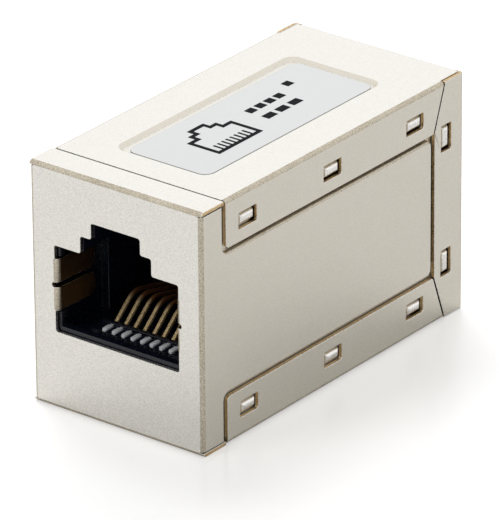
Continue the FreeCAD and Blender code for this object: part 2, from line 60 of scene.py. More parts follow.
WELD = 0.0005 * MM          # points nearer than this become one
LEVEL = 0.4                 # faces that turn by less than this become one, in degrees
PROBE = 0.002 * MM          # how far off a face a measuring ray starts
NOISE_RANGE = (0.3, 0.7)    # where nearly all of a noise pattern's values lie
NOISE_ROUGHNESS = 0.6       # share of each finer octave of noise

Socket = bpy.types.NodeSocket
Colour = tuple[float, float, float]
Stop = tuple[float, Colour]

log = logging.getLogger("coupler")


class Slot(Enum):
    """The record's material slots. No piece in this script takes one."""

    CASE = "case_metal"
    LABEL = "label"
    PLASTIC = "black_plastic"
    SPRING = "gold_contact"


class End(Enum):
    """The two sockets of the coupler. The value is the way that its mouth faces along Y."""

    FRONT = -1
    REAR = 1

    @property
    def word(self) -> str:
        """The first word of this socket's node names."""
        return self.name.lower()


class Region(Enum):
    """Kinds of surface on folded sheet. The value is the place in the sheet's materials.

    FACE, SIDE and END are one plating in three tones: above and below, on the long sides, and on
    the two ends. The tones are painted light and shade by the way a face points: the long sides are
    painted darker, and the ends get darker specks that paint the shading of their grain.
    """

    FACE = 0
    CUT = 1
    FOLD = 2
    RIM = 3
    # The fingers' blades deep in the socket: a brass hue, with its darkness painted shade.
    BLADE = 4
    BUMP = 5
    # Cut faces across a narrow seam, painted near black as the seam's shade.
    SEAM = 6
    SIDE = 7
    END = 8


class LabelPart(Enum):
    """Kinds of surface on the label. The value is the place in the label's materials."""

    FILM = 0
    INK = 1
    # The film's edge, painted dark grey as the shade line round the label.
    EDGE = 2


def placed(name: str, data: bpy.types.ID | None) -> bpy.types.Object:
    """Puts a new object in the scene.

    Args:
        name: The object's name.
        data: Its mesh, lamp or camera.

    Returns:
        The object.
    """
    made = bpy.data.objects.new(name, data)
    bpy.context.scene.collection.objects.link(made)
    return made


# --------------------------------------------------------------------------------------- node trees


class ShaderTree:
    """A material whose nodes are being wired."""

    def __init__(self, name: str) -> None:
        """Starts an empty material.

        Args:
            name: The material's name.
        """
        self.material = bpy.data.materials.new(name)
        self.material.use_nodes = True
        self.tree = self.material.node_tree
        self.tree.nodes.clear()
        self.output = self.add("ShaderNodeOutputMaterial")

    def add(
        self, kind: str, inputs: dict[str, Any] | None = None, **settings: Any
    ) -> bpy.types.Node:
        """Adds a node.

        Args:
            kind: The node's type name.
            inputs: Values of its sockets, by socket name.
            **settings: Values of its own properties.

        Returns:
            The new node.
        """
        node = self.tree.nodes.new(kind)
        for name, value in settings.items():
            setattr(node, name, value)
        for name, value in (inputs or {}).items():
            node.inputs[name].default_value = value
        return node

    def link(self, source: Socket, sink: Socket) -> None:
        """Joins an output to an input."""
        self.tree.links.new(source, sink)

    def place(self) -> Socket:
        """Object coordinates, in metres."""
        return self.add("ShaderNodeTexCoord").outputs["Object"]

    def noise(self, grain: float, detail: float) -> Socket:
        """A noise pattern from 0 to 1 on object coordinates.

        Args:
            grain: Size of its blotches, in metres.
            detail: Octaves of finer noise.

        Returns:
            The noise's factor.
        """
        pattern = {"Scale": 1 / grain, "Detail": detail, "Roughness": NOISE_ROUGHNESS}
        noise = self.add("ShaderNodeTexNoise", pattern)
        self.link(self.place(), noise.inputs["Vector"])
        return noise.outputs["Fac"]

    def ramp(self, factor: Socket, low: Stop, high: Stop) -> Socket:
        """Colours a factor.

        Args:
            factor: The socket to colour.
            low: Where the lower colour ends, and that colour.
            high: Where the higher colour starts, and that colour.

        Returns:
            The colour.
        """
        node = self.add("ShaderNodeValToRGB")
        for element, (position, colour) in zip(node.color_ramp.elements, (low, high)):
            element.position = position
            element.color = (*colour, 1)
        self.link(factor, node.inputs["Fac"])
        return node.outputs["Color"]

    def mixed(
        self,
        factor: Socket,
        low: Colour | Socket,
        high: Colour | Socket,
    ) -> Socket:
        """Mixes two colours.

        Args:
            factor: 0 for the first colour, 1 for the second.
            low: The first colour, or the socket that carries it.
            high: The second colour, or its socket.

        Returns:
            The mixed colour.
        """
        mix = self.add("ShaderNodeMix", data_type="RGBA")
        sinks = {socket.identifier: socket for socket in mix.inputs}
        self.link(factor, sinks["Factor_Float"])
        for name, colour in (("A_Color", low), ("B_Color", high)):
            if isinstance(colour, tuple):
                sinks[name].default_value = (*colour, 1)
            else:
                self.link(colour, sinks[name])
        return next(socket for socket in mix.outputs if socket.identifier == "Result_Color")

    def between(self, factor: Socket, low: float, high: float) -> Socket:
        """Maps a factor from the range of a noise pattern to another range.

        Args:
            factor: The factor.
            low: What the range's lower end becomes.
            high: What its upper end becomes.

        Returns:
            The mapped value.
        """
        start, end = NOISE_RANGE
        span = {"From Min": start, "From Max": end, "To Min": low, "To Max": high}
        node = self.add("ShaderNodeMapRange", span)
        self.link(factor, node.inputs["Value"])
        return node.outputs["Result"]

    def bump(self, height: Socket, depth: float, strength: float) -> Socket:
        """A bumped normal.

        Args:
            height: The height pattern, from 0 to 1.
            depth: The height of 1, in metres.
            strength: How much of the bump shows.

        Returns:
            The normal.
        """
        node = self.add("ShaderNodeBump", {"Strength": strength, "Distance": depth})
        self.link(height, node.inputs["Height"])
        return node.outputs["Normal"]

    def surface(self, links: dict[str, Socket], values: dict[str, Any]) -> bpy.types.Material:
        """Ends the tree in a Principled shader.

        Args:
            links: Sockets that vary over the surface, by the shader's input name.
            values: Constant values, by the shader's input name.

        Returns:
            The finished material.
        """
        shader = self.add("ShaderNodeBsdfPrincipled", values)
        for name, socket in links.items():
            self.link(socket, shader.inputs[name])
        self.link(shader.outputs["BSDF"], self.output.inputs["Surface"])
        return self.material


class GeometryTree:
    """A Geometry Nodes group with named inputs."""

    def __init__(self, name: str) -> None:
        """Starts an empty group with one geometry output.

        Args:
            name: The group's name.
        """
        self.tree = bpy.data.node_groups.new(name, "GeometryNodeTree")
        sockets = self.tree.interface
        sockets.new_socket("Geometry", in_out="OUTPUT", socket_type="NodeSocketGeometry")
        self.source = self.tree.nodes.new("NodeGroupInput")
        self.sink = self.tree.nodes.new("NodeGroupOutput")

    def input(self, name: str, kind: str) -> Socket:
        """Adds a named input.

        Args:
            name: The input's name.
            kind: The last word of its socket type, such as Float.

        Returns:
            The socket that carries it inside the group.
        """
        self.tree.interface.new_socket(name, in_out="INPUT", socket_type=f"NodeSocket{kind}")
        return self.source.outputs[name]

    def add(self, kind: str, links: dict[str, Socket] | None = None) -> bpy.types.Node:
        """Adds a node and joins its inputs.

        Args:
            kind: The node's type name.
            links: Sockets that feed its inputs, by input name.

        Returns:
            The new node.
        """
        node = self.tree.nodes.new(kind)
        for name, socket in (links or {}).items():
            self.tree.links.new(socket, node.inputs[name])
        return node

    def finish(self, geometry: Socket, material: Socket) -> bpy.types.NodeTree:
        """Ends the group in Realize Instances and Set Material.

        Args:
            geometry: The geometry to put out.
            material: The material that it gets.

        Returns:
            The group.
        """
        real = self.add("GeometryNodeRealizeInstances", {"Geometry": geometry})
        dressed = self.add(
            "GeometryNodeSetMaterial", {"Geometry": real.outputs["Geometry"], "Material": material}
        )
        self.tree.links.new(dressed.outputs["Geometry"], self.sink.inputs["Geometry"])
        return self.tree


def evaluated(name: str, holder: bpy.types.Object) -> bpy.types.Mesh:
    """Keeps what an object's modifiers make of it, as a plain mesh.

    Args:
        name: The mesh's name.
        holder: The object.

    Returns:
        The mesh.
    """
    graph = bpy.context.evaluated_depsgraph_get()
    made = bpy.data.meshes.new_from_object(holder.evaluated_get(graph))
    made.name = name
    return made


def baked_from_tree(name: str, tree: bpy.types.NodeTree, values: dict[str, Any]) -> bpy.types.Mesh:
    """Runs a Geometry Nodes group and keeps what it makes as a plain mesh.

    Args:
        name: The mesh's name.
        tree: The group.
        values: Its inputs, by name.

    Returns:
        The mesh.
    """
    holder = placed(f"{name}_maker", bpy.data.meshes.new(f"{name}_seed"))
    modifier = holder.modifiers.new("maker", "NODES")
    modifier.node_group = tree
    for item in tree.interface.items_tree:
        if item.in_out == "INPUT" and item.name in values:
            modifier[item.identifier] = values[item.name]
    made = evaluated(name, holder)
    holder.modifiers.remove(modifier)
    bpy.data.objects.remove(holder)
    return made


# ----------------------------------------------------------------------------------------- finishes


@dataclass(frozen=True)
class PlatedSheet:
    """Satin plating on folded sheet.

    Attributes:
        name: The material's name.
        colour: The plating's colour.
        tint: The colour of its darker blotches.
        speck: Share of the colour that the darkest grains keep.
        smooth: Roughness where it is smoothest.
        dull: Roughness where it is dullest.
        grain: Size of the fine grain, in metres.
        relief: Height of the grain, in metres.
        stops: Where the dark grains end and the plain colour starts.
        blotch: Size of the blotches, in grains.
        strength: How much of the relief shows.
    """

    name: str
    colour: Colour
    tint: Colour
    speck: float
    smooth: float
    dull: float
    grain: float
    relief: float
    stops: tuple[float, float] = (0.36, 0.60)
    blotch: float = 22.0
    strength: float = 0.8

    def grained(self, tree: ShaderTree, fine: Socket, colour: Colour) -> Socket:
        """A colour with darker grains in it.

        Args:
            tree: The tree to add the nodes to.
            fine: The noise of the grain.
            colour: The colour between the grains.

        Returns:
            The grained colour.
        """
        dark = tuple(self.speck * c for c in colour)
        start, end = self.stops
        return tree.ramp(fine, (start, dark), (end, colour))

    def material(self) -> bpy.types.Material:
        """Makes the finish.

        Returns:
            The material.
        """
        tree = ShaderTree(self.name)
        fine = tree.noise(self.grain, 3)
        broad = tree.noise(self.grain * self.blotch, 2)
        blotched = tree.mixed(
            broad, self.grained(tree, fine, self.tint), self.grained(tree, fine, self.colour)
        )
        links = {
            "Base Color": blotched,
            "Roughness": tree.between(fine, self.smooth, self.dull),
            "Normal": tree.bump(fine, self.relief, self.strength),
        }
        return tree.surface(links, {"Metallic": 1.0})


@dataclass(frozen=True)
class MouldedPlastic:
    """Black moulding with a faint spark-eroded texture.

    Attributes:
        name: The material's name.
        colour: The plastic's colour.
        grain: Size of the texture, in metres.
        smooth: Roughness where it is smoothest.
        dull: Roughness where it is dullest.
        lift: How much lighter the peaks of the texture are.
        stops: Where the plain colour ends and the lightest starts.
        relief: Height of the texture, in metres.
        strength: How much of the relief shows.
        index: The plastic's refractive index.
    """

    name: str
    colour: Colour
    grain: float
    smooth: float
    dull: float
    lift: float = 1.8
    stops: tuple[float, float] = (0.35, 0.75)
    relief: float = 0.004 * MM
    strength: float = 0.4
    index: float = 1.5

    def material(self) -> bpy.types.Material:
        """Makes the finish.

        Returns:
            The material.
        """
        tree = ShaderTree(self.name)
        fine = tree.noise(self.grain, 4)
        lighter = tuple(self.lift * c for c in self.colour)
        start, end = self.stops
        links = {
            "Base Color": tree.ramp(fine, (start, self.colour), (end, lighter)),
            "Roughness": tree.between(fine, self.smooth, self.dull),
            "Normal": tree.bump(fine, self.relief, self.strength),
        }
        return tree.surface(links, {"IOR": self.index})


@dataclass(frozen=True)
class PlatedSpring:
    """A bronze spring with gold on its working length and tin on its tip.

    Attributes:
        name: The material's name.
        mouth_y: Where the socket's face lies, along Y.
        mouth: The way that the mouth faces along Y, -1 or 1.
        tin: Colour of the tip.
        gold: Colour of the working length.
        worn: Colour of the marks in the gold.
        bronze: Colour of the rest, darker than bare bronze so that it also paints the shade deep in
            the socket.
        tin_end: Depth in the socket at which the tin ends.
        tin_fade: Depth over which it ends.
        gold_end: Depth at which the gold ends.
        gold_fade: Depth over which it thins out.
        tin_dark: Share of the tin's colour that its darkest grains keep.
        tin_stops: Where the tin's dark grains end and its colour starts.
        gold_stops: Where the marks in the gold end and the gold starts.
        metal: How metallic the tip and the rest are.
        rough: Least and greatest roughness.
        grain: Size of the grain, in metres.
        relief: Height of the grain, in metres.
        strength: How much of the relief shows.
    """

    name: str
    mouth_y: float
    mouth: int
    tin: Colour = (0.95, 0.96, 1.0)
    gold: Colour = (1.0, 0.79, 0.43)
    worn: Colour = (0.34, 0.20, 0.08)
    # Darker than bare bronze: partly the bronze, partly painted shade deep in the socket.
    bronze: Colour = (0.30, 0.12, 0.045)
    tin_end: float = 3.95 * MM
    tin_fade: float = 0.05 * MM
    gold_end: float = 6.3 * MM
    gold_fade: float = 0.7 * MM
    tin_dark: float = 0.65
    tin_stops: tuple[float, float] = (0.36, 0.52)
    gold_stops: tuple[float, float] = (0.38, 0.56)
    metal: tuple[float, float] = (0.05, 0.6)
    rough: tuple[float, float] = (0.38, 0.60)
    grain: float = 0.08 * MM
    relief: float = 0.02 * MM
    strength: float = 0.8

    def reached(self, tree: ShaderTree, depth: float, length: float) -> Socket:
        """How far a point has passed a depth, from 0 before it to 1 behind it.

        Args:
            tree: The tree to add the nodes to.
            depth: The depth in the socket.
            length: How far the change takes.

        Returns:
            The factor.
        """
        parts = tree.add("ShaderNodeSeparateXYZ")
        tree.link(tree.place(), parts.inputs["Vector"])
        start, end = (self.mouth_y - self.mouth * (depth + side * length / 2) for side in (-1, 1))
        share = tree.add("ShaderNodeMapRange", {"From Min": start, "From Max": end})
        tree.link(parts.outputs["Y"], share.inputs["Value"])
        return share.outputs["Result"]

    def material(self) -> bpy.types.Material:
        """Makes the finish.

        Returns:
            The material.
        """
        tree = ShaderTree(self.name)
        fine = tree.noise(self.grain, 4)
        gold = tree.ramp(fine, (self.gold_stops[0], self.worn), (self.gold_stops[1], self.gold))
        # Behind the gold the springs turn to the dark bronze, which also paints the shade deep in
        # the socket.
        plated = tree.mixed(self.reached(tree, self.gold_end, self.gold_fade), gold, self.bronze)
        dark_tin = tuple(self.tin_dark * c for c in self.tin)
        tin = tree.ramp(fine, (self.tin_stops[0], dark_tin), (self.tin_stops[1], self.tin))
        past_tin = self.reached(tree, self.tin_end, self.tin_fade)
        links = {
            "Base Color": tree.mixed(past_tin, tin, plated),
            "Metallic": tree.between(past_tin, *self.metal),
            "Roughness": tree.between(fine, *self.rough),
            "Normal": tree.bump(fine, self.relief, self.strength),
        }
        return tree.surface(links, {})


@dataclass(frozen=True)
class CoatedFilm:
    """Smooth film or ink with a faint mottle.

    Attributes:
        name: The material's name.
        colour: Its colour.
        mottle: Colour of its darker blotches.
        smooth: Roughness where it is smoothest.
        dull: Roughness where it is dullest.
        grain: Size of the mottle, in metres.
        index: Its refractive index.
        stops: Where the blotches end and the plain colour starts.
        relief: Height of the mottle, in metres.
        strength: How much of the relief shows.
    """

    name: str
    colour: Colour
    mottle: Colour
    smooth: float
    dull: float
    grain: float
    index: float = 1.48
    stops: tuple[float, float] = (0.32, 0.66)
    relief: float = 0.002 * MM
    strength: float = 0.3

    def material(self) -> bpy.types.Material:
        """Makes the finish.

        Returns:
            The material.
        """
        tree = ShaderTree(self.name)
        fine = tree.noise(self.grain, 3)
        start, end = self.stops
        links = {
            "Base Color": tree.ramp(fine, (start, self.mottle), (end, self.colour)),
            "Roughness": tree.between(fine, self.smooth, self.dull),
            "Normal": tree.bump(fine, self.relief, self.strength),
        }
        return tree.surface(links, {"IOR": self.index})


SHEET_FINISHES = {
    Region.FACE: PlatedSheet(
        name="satin_nickel", colour=(0.98, 0.957, 0.91), tint=(0.965, 0.94, 0.885), speck=0.90,
        smooth=0.36, dull=0.48, grain=0.11 * MM, relief=0.012 * MM,
    ),
    Region.CUT: PlatedSheet(
        name="sheared_brass", colour=(0.98, 0.75, 0.43), tint=(0.74, 0.52, 0.26), speck=0.5,
        smooth=0.30, dull=0.55, grain=0.12 * MM, relief=0.03 * MM,
    ),
    Region.FOLD: PlatedSheet(
        name="stretched_nickel", colour=(0.84, 0.775, 0.65), tint=(0.62, 0.54, 0.41), speck=0.50,
        smooth=0.26, dull=0.62, grain=0.11 * MM, relief=0.05 * MM,
    ),
    Region.RIM: PlatedSheet(
        name="burnished_rim", colour=(0.97, 0.94, 0.88), tint=(0.90, 0.86, 0.78), speck=0.6,
        smooth=0.22, dull=0.40, grain=0.12 * MM, relief=0.01 * MM,
    ),
    # The fingers' blades: a brass hue whose darkness is painted shade from the socket's dark
    # inside.
    Region.BLADE: PlatedSheet(
        name="tarnished_finger", colour=(0.20, 0.125, 0.062), tint=(0.12, 0.072, 0.035), speck=0.8,
        smooth=0.30, dull=0.50, grain=0.15 * MM, relief=0.01 * MM,
    ),
    Region.BUMP: PlatedSheet(
        name="rubbed_bump", colour=(0.97, 0.95, 0.92), tint=(0.90, 0.87, 0.82), speck=0.85,
        smooth=0.16, dull=0.32, grain=0.15 * MM, relief=0.012 * MM,
    ),
    # Painted shade: the cut faces in the seams between the shells, near black.
    Region.SEAM: PlatedSheet(
        name="shaded_seam", colour=(0.05, 0.035, 0.022), tint=(0.03, 0.02, 0.012), speck=0.8,
        smooth=0.45, dull=0.60, grain=0.12 * MM, relief=0.02 * MM,
    ),
    # The long sides: the plating painted darker, as painted shade.
    Region.SIDE: PlatedSheet(
        name="satin_nickel_side", colour=(0.81, 0.77, 0.68), tint=(0.79, 0.745, 0.65), speck=0.89,
        smooth=0.36, dull=0.48, grain=0.11 * MM, relief=0.012 * MM,
    ),
    # The two ends: the plating with darker specks that paint the shading of its grain.
    Region.END: PlatedSheet(
        name="grained_nickel", colour=(0.995, 0.97, 0.91), tint=(0.98, 0.95, 0.88), speck=0.77,
        smooth=0.36, dull=0.52, grain=0.085 * MM, relief=0.02 * MM,
    ),
}
LABEL_FINISHES = {
    LabelPart.FILM: CoatedFilm(
        name="label_film", colour=(0.72, 0.735, 0.73), mottle=(0.705, 0.72, 0.715),
        smooth=0.30, dull=0.42, grain=0.5 * MM,
    ),
    LabelPart.INK: CoatedFilm(
        name="black_ink", colour=(0.003, 0.003, 0.005), mottle=(0.006, 0.006, 0.008),
        smooth=0.50, dull=0.65, grain=0.15 * MM, index=1.15,
    ),
    # Painted shade: the dark line round the label's edge.
    LabelPart.EDGE: CoatedFilm(
        name="label_edge", colour=(0.20, 0.21, 0.22), mottle=(0.10, 0.11, 0.12),
        smooth=0.50, dull=0.65, grain=0.2 * MM,
    ),
}
HOUSING_FINISH = MouldedPlastic(
    name="black_moulding", colour=(0.0035, 0.005, 0.011), grain=0.12 * MM, smooth=0.20, dull=0.34
)
BOARD_FINISH = CoatedFilm(
    name="solder_mask", colour=(0.03, 0.16, 0.08), mottle=(0.02, 0.11, 0.055),
    smooth=0.25, dull=0.40, grain=0.6 * MM,
)


class Palette:
    """The materials that more than one piece shares, each made once."""

    def __init__(self) -> None:
        """Makes the materials."""
        self.sheet = [SHEET_FINISHES[region].material() for region in Region]
        self.plastic = HOUSING_FINISH.material()
        self.board = BOARD_FINISH.material()
        self.label = [LABEL_FINISHES[part].material() for part in LabelPart]


# ----------------------------------------------------------------------------------------- geometry


@dataclass(frozen=True)
class Softening:
    """How the sharp edges of a piece are broken.

    Attributes:
        width: Width of the broken edge, in metres.
        segments: Faces across it.
        angle: Edges sharper than this are broken, in degrees.
        material: Place of the edges' material on the mesh, or -1 for that of the faces beside them.
    """

    width: float
    segments: int = 2
    angle: float = 35.0
    material: int = -1


def clean_copy(node: str) -> bmesh.types.BMesh:
    """A welded copy of a node's mesh, with its flat parts joined into whole faces.

    Args:
        node: The node's name.

    Returns:
        The copy, which the caller frees.
    """
    copy = bmesh.new()
    copy.from_mesh(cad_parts[node].data)
    bmesh.ops.remove_doubles(copy, verts=copy.verts, dist=WELD)
    bmesh.ops.dissolve_degenerate(copy, dist=WELD, edges=copy.edges)
    bmesh.ops.dissolve_limit(
        copy,
        angle_limit=math.radians(LEVEL),
        use_dissolve_boundaries=False,
        verts=copy.verts,
        edges=copy.edges,
    )
    return copy


def meshed(
    name: str, copy: bmesh.types.BMesh, materials: list[bpy.types.Material]
) -> bpy.types.Mesh:
    """Turns a working copy into a mesh, and frees the copy.

    Args:
        name: The mesh's name.
        copy: The working copy.
        materials: The mesh's materials, in order.

    Returns:
        The mesh.
    """
    mesh = bpy.data.meshes.new(name)
    for material in materials:
        mesh.materials.append(material)
    copy.to_mesh(mesh)
    copy.free()
    return mesh


def show_mesh(name: str, mesh: bpy.types.Mesh, replaces: list[str]) -> bpy.types.Object:
    """Puts a finished mesh on the coupler.

    Args:
        name: The piece's name.
        mesh: Its mesh, in place.
        replaces: The nodes that it stands for.

    Returns:
        The piece.
    """
    piece = placed(name, mesh)
    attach(piece, BODY)
    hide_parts(*replaces)
    log.info("%s: %d faces, for %s", name, len(mesh.polygons), ", ".join(replaces))
    return piece


def softened(name: str, mesh: bpy.types.Mesh, edge: Softening) -> bpy.types.Mesh:
    """Breaks a mesh's sharp edges and shades it smooth.

    Args:
        name: The new mesh's name.
        mesh: The mesh to soften.
        edge: How its edges are broken.

    Returns:
        The softened mesh.
    """
    points = [vertex.co for vertex in mesh.vertices]
    before = BVHTree.FromPolygons(points, [face.vertices for face in mesh.polygons])
    broken = modified(f"{name}_broken", mesh, "BEVEL", {
        "width": edge.width,
        "segments": edge.segments,
        "limit_method": "ANGLE",
        "angle_limit": math.radians(edge.angle),
        "use_clamp_overlap": False,
        "material": edge.material,
    })
    for vertex in broken.vertices:
        place, _, _, distance = before.find_nearest(vertex.co)
        if distance > edge.width:
            vertex.co = place
    broken.shade_smooth()
    return modified(
        name, broken, "WEIGHTED_NORMAL", {"mode": "FACE_AREA", "weight": 50, "keep_sharp": False}
    )


def modified(
    name: str, mesh: bpy.types.Mesh, kind: str, settings: dict[str, Any]
) -> bpy.types.Mesh:
    """Runs one modifier on a mesh and keeps the result.

    Args:
        name: The new mesh's name.
        mesh: The mesh to start from.
        kind: The modifier's type.
        settings: Its settings.

    Returns:
        The new mesh.
    """
    holder = placed(f"{name}_holder", mesh)
    modifier = holder.modifiers.new("step", kind)
    for setting, value in settings.items():
        setattr(modifier, setting, value)
    made = evaluated(name, holder)
    bpy.data.objects.remove(holder)
    return made


# ----------------------------------------------------------------------------------- sub-assemblies


@dataclass
class FoldedShell:
    """One of the two folded sheets of the case.

    Attributes:
        node: The shell's node.
        palette: The finishes.
        sheet: Longest way through the sheet at a face that isn't a cut, in metres.
        edge: How its sheared edges are broken.
        seam: Widest gap to the other shell at which a cut face is painted with the seam's shade.
        seam_run: Shortest edge of a seam, longer than any window's.
        recess: Half width along X and half length along Y that hold the label's recess.
        face_y: How far the socket's face lies from the middle of the case.
        opening: Half width, bottom and top of the socket opening.
        finger_fold: Depth of the fingers' fold behind the face.
        facing: Share of a normal along an axis above which a face points that way.
        upright: The same share for the socket's face beside its opening.
        bent: Share under which a face is part of a bend.
        crown: Height of the snap bumps' crowns, from the middle of the case.
        crown_slack: How far from that height a crown may lie.
        crown_facing: Share of a crown's normal that lies along X.
        dome_rim: Width of the slope round a bump's dome.
        dome_rise: Height of the dome over the crown.
    """

    node: str
    palette: Palette
    sheet: float = 0.62 * MM
    edge: Softening = Softening(0.035 * MM, angle=40.0, material=Region.RIM.value)
    seam: float = 0.30 * MM
    seam_run: float = 3.0 * MM
    recess: tuple[float, float] = (7.5 * MM, 14.0 * MM)
    face_y: float = 18.30 * MM
    opening: tuple[float, float, float] = (6.85 * MM, 7.10 * MM, 18.40 * MM)
    finger_fold: float = 0.44 * MM
    facing: float = 0.9
    upright: float = 0.95
    bent: float = 0.995
    crown: float = 9.04 * MM
    crown_slack: float = 0.005 * MM
    crown_facing: float = 0.99
    dome_rim: float = 0.20 * MM
    dome_rise: float = 0.045 * MM

    def region(self, face: bmesh.types.BMFace, tree: BVHTree) -> Region:
        """Sorts a face by how the sheet was made there, by the way it points for the painted tones,
        and into the painted shade of the seams and the fingers' blades.

        Args:
            face: The face.
            tree: The faces of both shells, to measure sheets and gaps on.

        Returns:
            The kind of surface.
        """
        normal = face.normal
        place = face.calc_center_median()
        depth = tree.ray_cast(place - normal * PROBE, -normal)[3]
        cut = depth is not None and depth > self.sheet
        half, bottom, top = self.opening
        if abs(place.x) < half and bottom < place.z < top and abs(normal.y) < self.upright:
            # Deep in the socket the fingers' blades take painted shade.
            if self.face_y - abs(place.y) > self.finger_fold:
                return Region.BLADE
            return Region.RIM if cut else Region.FOLD
        if cut:
            # Cut faces that look across a narrow seam at the other shell are painted near black, as
            # painted shade.
            gap = tree.ray_cast(place + normal * PROBE, normal)[3]
            longest = max(edge.calc_length() for edge in face.edges)
            shaded = gap is not None and gap < self.seam and longest > self.seam_run
            return Region.SEAM if shaded else Region.CUT
        if max(abs(c) for c in normal) < self.bent:
            # Sloped faces in the label's recess take the long sides' darker painted tone.
            in_recess = abs(place.x) < self.recess[0] and abs(place.y) < self.recess[1]
            return Region.SIDE if in_recess else Region.FOLD
        # The long sides and the ends take their own tones of the plating, painted lighter or darker
        # by the way they point.
        if abs(normal.x) > self.facing:
            return Region.SIDE
        return Region.END if abs(normal.y) > self.facing else Region.FACE

    @staticmethod
    def both_shells() -> BVHTree:
        """Gathers the faces of both shells, to measure sheets and gaps on.

        Returns:
            The tree of faces.
        """
        points, faces = [], []
        for node in SHELLS:
            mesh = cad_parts[node].data
            start = len(points)
            points += [vertex.co for vertex in mesh.vertices]
            faces += [[start + i for i in face.vertices] for face in mesh.polygons]
        return BVHTree.FromPolygons(points, faces)

    def raise_domes(self, copy: bmesh.types.BMesh) -> None:
        """Crowns each snap bump with a shallow dome, and gives it the rubbed finish.

        Args:
            copy: The shell's mesh, already sorted.
        """
        crowns = [
            face for face in copy.faces
            if abs(face.normal.x) > self.crown_facing
            and abs(abs(face.calc_center_median().x) - self.crown) < self.crown_slack
        ]
        rims = bmesh.ops.inset_individual(
            copy, faces=crowns, thickness=self.dome_rim, depth=self.dome_rise
        )
        sides = {n for face in rims["faces"] for edge in face.edges for n in edge.link_faces}
        for face in [*crowns, *rims["faces"], *sides]:
            face.material_index = Region.BUMP.value

    def build(self) -> bpy.types.Object:
        """Makes the shell's piece.

        Returns:
            The piece.
        """
        copy = clean_copy(self.node)
        copy.normal_update()
        tree = self.both_shells()
        for face in copy.faces:
            face.material_index = self.region(face, tree).value
        self.raise_domes(copy)
        name = f"{self.node}_case"
        soft = softened(name, meshed(f"{self.node}_sheet", copy, self.palette.sheet), self.edge)
        low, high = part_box(self.node)
        for vertex in soft.vertices:
            vertex.co = [min(max(at, least), most) for at, least, most in zip(vertex.co, low, high)]
        return show_mesh(name, soft, [self.node])


@dataclass
class MouldedPiece:
    """A plastic moulding of one socket.

    Attributes:
        node: The moulding's node.
        palette: The finishes.
        edge: How its edges are broken.
    """

    node: str
    palette: Palette
    edge: Softening = Softening(0.05 * MM)

    def build(self) -> bpy.types.Object:
        """Makes the moulding's piece.

        Returns:
            The piece.
        """
        mesh = meshed(f"{self.node}_moulding", clean_copy(self.node), [self.palette.plastic])
        name = f"{self.node}_moulded"
        return show_mesh(name, softened(name, mesh, self.edge), [self.node])


@dataclass
class SpringRow:
    """The eight contact springs of one socket, in two alternating shapes.

    Attributes:
        end: The socket.
        count: Springs in the socket.
        edge: How the edges of a spring are broken.
    """

    end: End
    count: int = 8
    edge: Softening = Softening(0.045 * MM)

    def node(self, number: int) -> str:
        """The node of a spring, from 1."""
        return f"{self.end.word}_contact_{number}"

    def pitch(self) -> float:
        """The signed step along X from one spring to the next."""
        first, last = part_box(self.node(1))[0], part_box(self.node(self.count))[0]
        return (last.x - first.x) / (self.count - 1)

    def finish(self) -> bpy.types.Material:
        """Makes the springs' material, which changes with depth from this socket's mouth.

        Returns:
            The material.
        """
        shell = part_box(f"{self.end.word}_shell")
        mouth_y = shell[0].y if self.end is End.FRONT else shell[1].y
        return PlatedSpring(f"{self.end.word}_spring_plating", mouth_y, self.end.value).material()

    def pattern(self, number: int) -> bpy.types.Object:
        """Makes a softened copy of one spring, for the row to repeat.

        Args:
            number: The spring, from 1.

        Returns:
            The copy.
        """
        node = self.node(number)
        strip = meshed(f"{node}_strip", clean_copy(node), [])
        return placed(f"{node}_pattern", softened(node, strip, self.edge))

    def tree(self) -> bpy.types.NodeTree:
        """Makes the group that repeats two springs in turn along X.

        Returns:
            The group.
        """
        group = GeometryTree(f"{self.end.word}_spring_row")
        pairs = group.input("Pairs", "Int")
        step = group.input("Step", "Vector")
        material = group.input("Material", "Material")
        rows = []
        for name in ("Lower Spring", "Upper Spring"):
            spring = group.input(name, "Object")
            line = group.add("GeometryNodeMeshLine", {"Count": pairs, "Offset": step})
            info = group.add("GeometryNodeObjectInfo", {"Object": spring})
            links = {"Points": line.outputs["Mesh"], "Instance": info.outputs["Geometry"]}
            rows.append(group.add("GeometryNodeInstanceOnPoints", links))
        join = group.add("GeometryNodeJoinGeometry")
        for row in rows:
            group.tree.links.new(row.outputs["Instances"], join.inputs["Geometry"])
        return group.finish(join.outputs["Geometry"], material)

    def build(self) -> bpy.types.Object:
        """Makes the row's piece.

        Returns:
            The piece.
        """
        lower, upper = self.pattern(1), self.pattern(2)
        name = f"{self.end.word}_contact_springs"
        mesh = baked_from_tree(name, self.tree(), {
            "Pairs": self.count // 2,
            "Step": (2 * self.pitch(), 0.0, 0.0),
            "Material": self.finish(),
            "Lower Spring": lower,
            "Upper Spring": upper,
        })
        for pattern in (lower, upper):
            bpy.data.objects.remove(pattern)
        return show_mesh(name, mesh, [self.node(n) for n in range(1, self.count + 1)])


@dataclass
class CircuitBoard:
    """The board between the sockets, which keeps its own shape.

    Attributes:
        palette: The finishes.
        node: The board's node.
    """

    palette: Palette
    node: str = "circuit_board"

    def build(self) -> bpy.types.Object:
        """Gives the board's node its solder mask.

        Returns:
            The board's node.
        """
        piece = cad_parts[self.node]
        piece.data.materials.clear()
        piece.data.materials.append(self.palette.board)
        log.info("%s: dressed as it is", self.node)
        return piece


@dataclass(frozen=True)
class PrintedRow:
    """A row of equal marks.

    Attributes:
        start: Centre of the first mark, from the label's centre along and up the print.
        mark: Length and height of one mark.
        step: From one mark to the next.
        count: How many marks.
    """

    start: tuple[float, float]
    mark: tuple[float, float]
    step: float
    count: int


